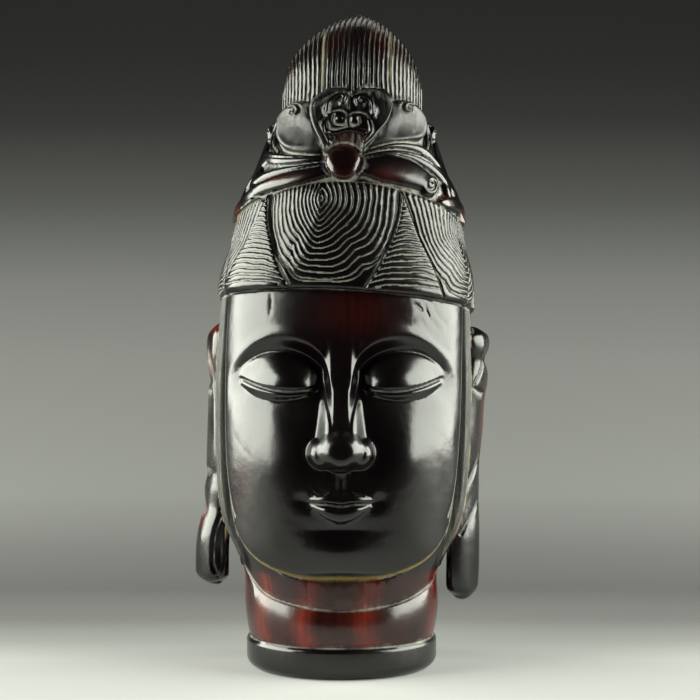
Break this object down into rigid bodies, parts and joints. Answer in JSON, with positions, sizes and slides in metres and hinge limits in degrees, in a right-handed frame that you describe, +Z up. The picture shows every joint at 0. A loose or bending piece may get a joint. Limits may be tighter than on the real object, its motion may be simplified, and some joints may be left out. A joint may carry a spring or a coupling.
{
  "type": "carved bodhisattva head",
  "caption": "Carved head of a bodhisattva with long ears, combed hair, leaf crown and tall topknot, on the flat ring under its neck.",
  "frame": {"origin": "centre of the flat underside of the ring under the neck", "axes": "+Z up to the topknot, the face towards -Y, +X towards the viewer's right"},
  "size_m": [0.1199, 0.1092, 0.26],
  "materials": {
    "polished_horn": "dark brown-black polished horn with a maroon glow at thin edges and pale wax in the cuts"
  },
  "bodies": {
    "root": {"bodhisattva_head": "polished_horn"}
  },
  "joints": []
}
